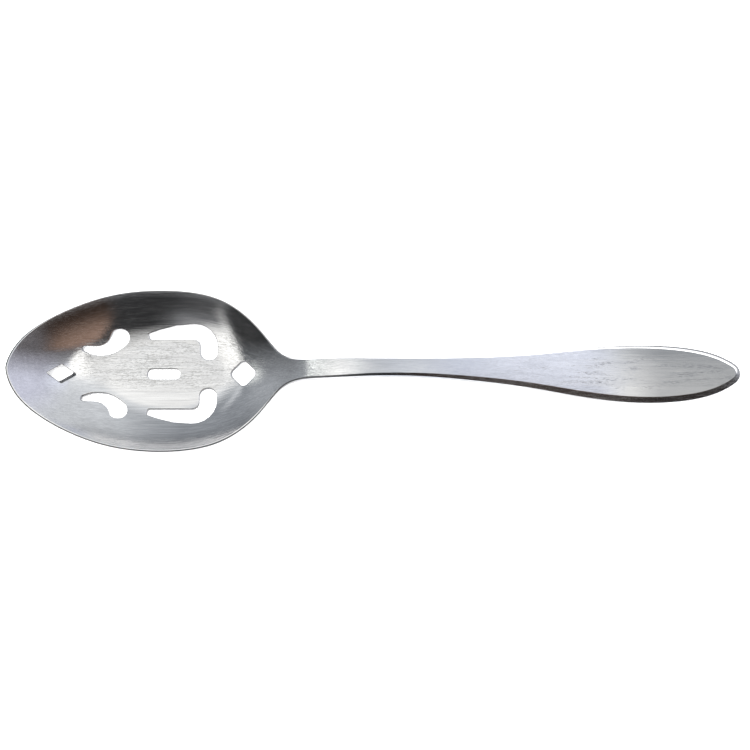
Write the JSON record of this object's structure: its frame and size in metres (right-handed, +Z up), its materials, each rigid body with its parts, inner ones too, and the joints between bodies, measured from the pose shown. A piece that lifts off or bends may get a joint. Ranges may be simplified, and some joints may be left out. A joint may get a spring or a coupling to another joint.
{
  "type": "pierced serving spoon",
  "caption": "Serving spoon with a shallow oval bowl pierced by diamonds, hooks and a slot, an arched shank and a leaf-shaped handle.",
  "frame": {"origin": "middle of the spoon's length on its centre line, at the level of the table it rests on", "axes": "+X from the bowl to the end of the handle, +Y across the spoon, +Z up out of the bowl"},
  "size_m": [0.213, 0.0472, 0.0156],
  "materials": {
    "steel": "satin stainless steel, brushed along its length, with fine scratches and small pits from use"
  },
  "bodies": {
    "root": {"pierced_spoon": "steel"}
  },
  "joints": []
}
